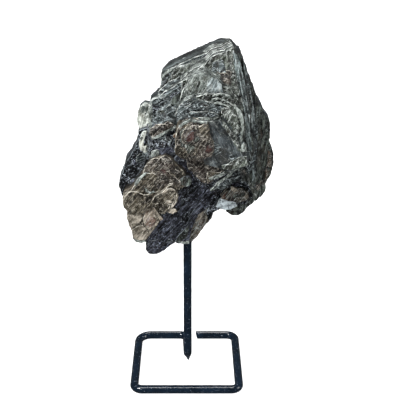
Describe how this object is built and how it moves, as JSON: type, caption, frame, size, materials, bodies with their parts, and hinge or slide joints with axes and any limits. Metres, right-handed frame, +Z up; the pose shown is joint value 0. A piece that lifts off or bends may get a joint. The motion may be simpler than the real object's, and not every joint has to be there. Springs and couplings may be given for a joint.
{
  "type": "mica specimen on stand",
  "caption": "Foliated mica specimen glued on the upright of a one-piece bent wire stand with an open square foot.",
  "frame": {"origin": "on the table, under the middle of the bounding box of stand and stone", "axes": "+Z up along the stand's upright, -Y towards the specimen's show side, +X to its right as seen from there"},
  "size_m": [0.0936, 0.067, 0.2116],
  "materials": {
    "black_enamel": "gloss",
    "mica": "satin, pearly on the cleavage faces"
  },
  "bodies": {
    "root": {"wire_stand": "black_enamel", "mica_mass": "mica"}
  },
  "joints": []
}
